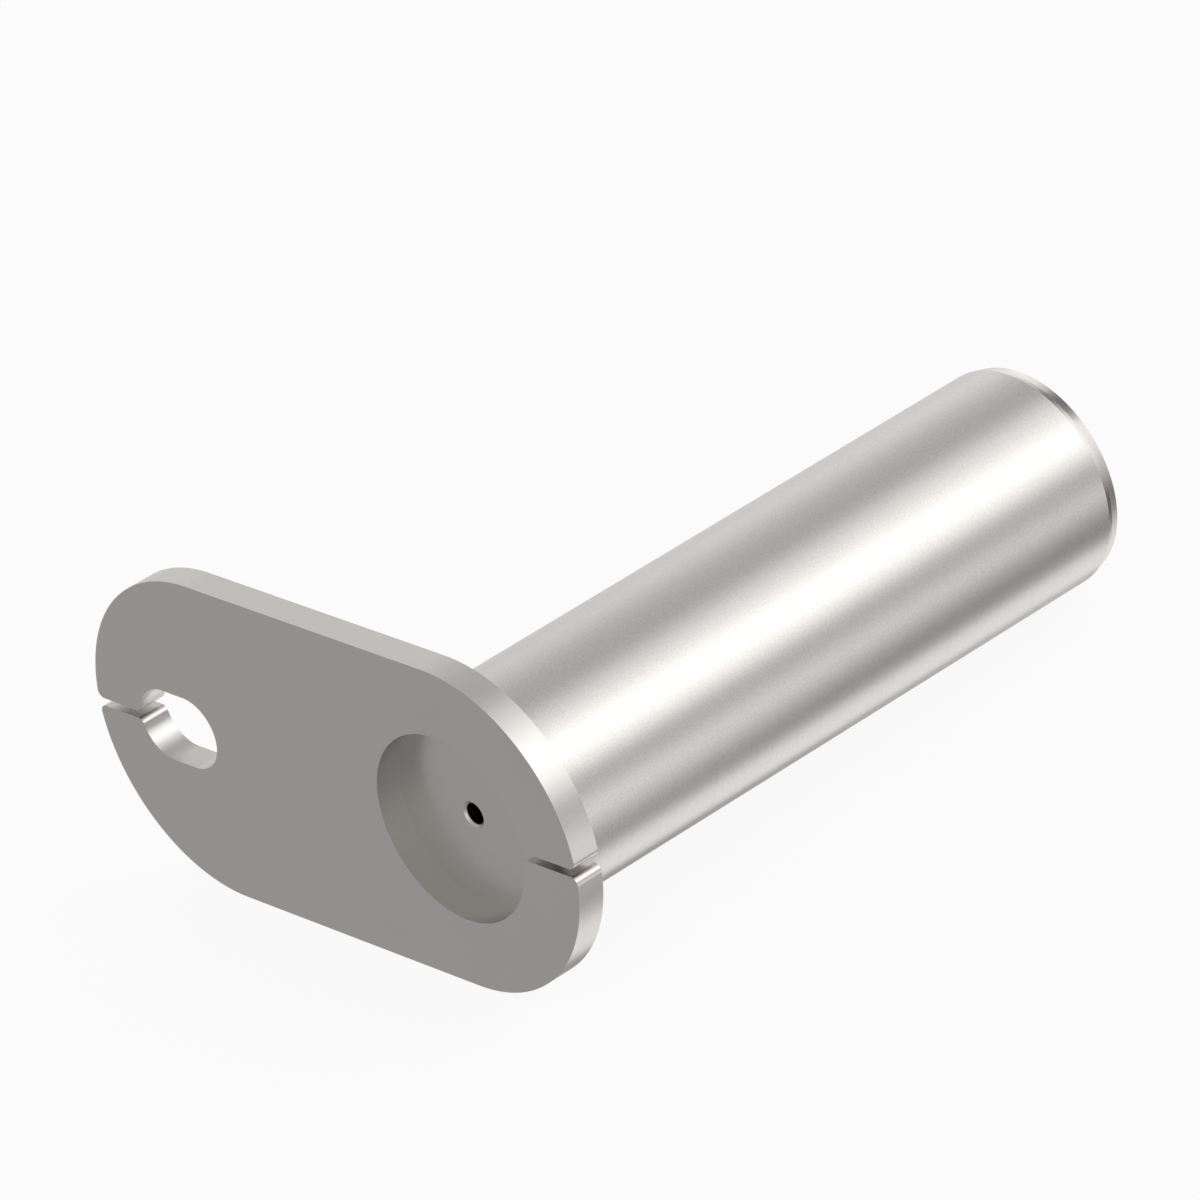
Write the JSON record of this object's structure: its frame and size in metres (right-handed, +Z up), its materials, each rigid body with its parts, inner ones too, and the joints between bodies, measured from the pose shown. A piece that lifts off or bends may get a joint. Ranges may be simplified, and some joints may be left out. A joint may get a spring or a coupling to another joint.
{
  "type": "bucket link pin",
  "caption": "Flagged link pin: a round shaft with a lead-in taper, butt-welded to a round-ended flag plate with a bolt slot, relief slits and an access hole over the grease port.",
  "frame": {"origin": "on the shaft's axis, in the flag's back face", "axes": "+Y along the shaft from the flag to the free end, +Z up across the flag, and the flag's bolt slot lies towards -X"},
  "size_m": [0.1281, 0.1527, 0.0654],
  "materials": {
    "shaft_steel": "ground bar, satin, with fine turning marks round the axis",
    "plate_steel": "flat plate, matt on its faces, with smooth cut edges"
  },
  "bodies": {
    "root": {"pin_shaft": "shaft_steel", "flag_plate": "plate_steel"}
  },
  "joints": []
}
